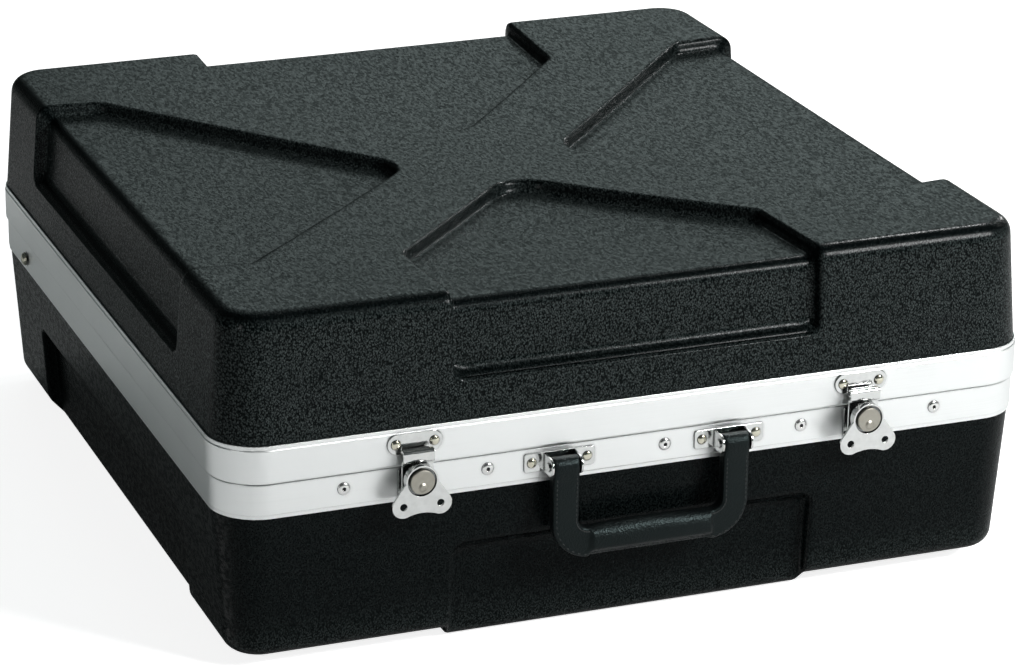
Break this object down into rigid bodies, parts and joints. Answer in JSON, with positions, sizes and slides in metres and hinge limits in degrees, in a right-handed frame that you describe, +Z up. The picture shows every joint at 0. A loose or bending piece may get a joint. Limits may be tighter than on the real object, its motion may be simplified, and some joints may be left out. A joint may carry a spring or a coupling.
{
  "type": "rack case",
  "caption": "Moulded black rack case with a hinged lid, aluminium edge frames, twist latches, a swinging carrying handle and internal rack rails.",
  "frame": {"origin": "under the middle of the overall size, on the surface that the pads stand on", "axes": "+X across the case, -Y towards the latches and handle, +Z up"},
  "size_m": [0.541, 0.5732, 0.2317],
  "materials": {
    "black_abs": "fine pebble grain",
    "frame_aluminium": "satin, drawn lines along the section",
    "rivet_aluminium": "satin",
    "nickel_plate": "bright nickel",
    "nickel_rivet": "warm satin nickel",
    "brass_rivet": "satin",
    "black_vinyl": "fine grained leathercloth with stitched edges",
    "black_steel": "satin black"
  },
  "bodies": {
    "base": {"base_shell": "black_abs", "base_frame": "frame_aluminium", "frame_rivet_front_1": "rivet_aluminium", "frame_rivet_front_2": "rivet_aluminium", "frame_rivet_front_3": "rivet_aluminium", "frame_rivet_front_4": "rivet_aluminium", "frame_rivet_front_5": "rivet_aluminium", "frame_rivet_rear_1": "rivet_aluminium", "frame_rivet_rear_2": "rivet_aluminium", "side_rivet_left": "brass_rivet", "latch_plate_left": "nickel_plate", "handle_bracket_left": "nickel_plate", "handle_pin_left": "nickel_plate", "bracket_rivet_left_1": "nickel_rivet", "bracket_rivet_left_2": "nickel_rivet", "hinge_base_leaf_left": "nickel_plate", "hinge_pin_left": "nickel_plate", "rack_rail_left": "black_steel", "rail_bracket_left_front": "black_abs", "rail_bracket_left_rear": "black_abs", "rail_bolt_left_front": "nickel_plate", "rail_bolt_left_rear": "nickel_plate", "side_rivet_right": "brass_rivet", "latch_plate_right": "nickel_plate", "handle_bracket_right": "nickel_plate", "handle_pin_right": "nickel_plate", "bracket_rivet_right_1": "nickel_rivet", "bracket_rivet_right_2": "nickel_rivet", "hinge_base_leaf_right": "nickel_plate", "hinge_pin_right": "nickel_plate", "rack_rail_right": "black_steel", "rail_bracket_right_front": "black_abs", "rail_bracket_right_rear": "black_abs", "rail_bolt_right_front": "nickel_plate", "rail_bolt_right_rear": "nickel_plate"},
    "lid": {"lid_shell": "black_abs", "lid_frame": "frame_aluminium", "keeper_left": "nickel_plate", "keeper_rivet_left_1": "nickel_rivet", "keeper_rivet_left_2": "nickel_rivet", "hinge_lid_leaf_left": "nickel_plate", "keeper_right": "nickel_plate", "keeper_rivet_right_1": "nickel_rivet", "keeper_rivet_right_2": "nickel_rivet", "hinge_lid_leaf_right": "nickel_plate"},
    "handle": {"handle_grip": "black_vinyl"},
    "key_left": {"latch_key_left": "nickel_plate", "latch_disc_left": "nickel_rivet"},
    "hook_left": {"latch_hook_left": "nickel_plate"},
    "key_right": {"latch_key_right": "nickel_plate", "latch_disc_right": "nickel_rivet"},
    "hook_right": {"latch_hook_right": "nickel_plate"}
  },
  "joints": [
    {"name": "lid_hinge", "type": "hinge", "parent": "base", "child": "lid", "pos_m": [0, 0.2834, 0.127], "axis": [-1, 0, 0], "range_deg": [0, 110]},
    {"name": "handle_swing", "type": "hinge", "parent": "base", "child": "handle", "pos_m": [0, -0.2786, 0.117], "axis": [-1, 0, 0], "range_deg": [0, 165]},
    {"name": "latch_turn_left", "type": "hinge", "parent": "base", "child": "key_left", "pos_m": [-0.148, -0.2826, 0.1218], "axis": [0, 1, 0], "range_deg": [0, 180]},
    {"name": "hook_draw_left", "type": "slide", "parent": "base", "child": "hook_left", "axis": [0, 0, 1], "range_m": [0, 0.0064]},
    {"name": "latch_turn_right", "type": "hinge", "parent": "base", "child": "key_right", "pos_m": [0.148, -0.2826, 0.1218], "axis": [0, 1, 0], "range_deg": [0, 180]},
    {"name": "hook_draw_right", "type": "slide", "parent": "base", "child": "hook_right", "axis": [0, 0, 1], "range_m": [0, 0.0064]}
  ],
  "couplings": [
    {"joint": "hook_draw_left", "follows": "latch_turn_left", "m_per_rad": 0.002037},
    {"joint": "hook_draw_right", "follows": "latch_turn_right", "m_per_rad": 0.002037}
  ]
}
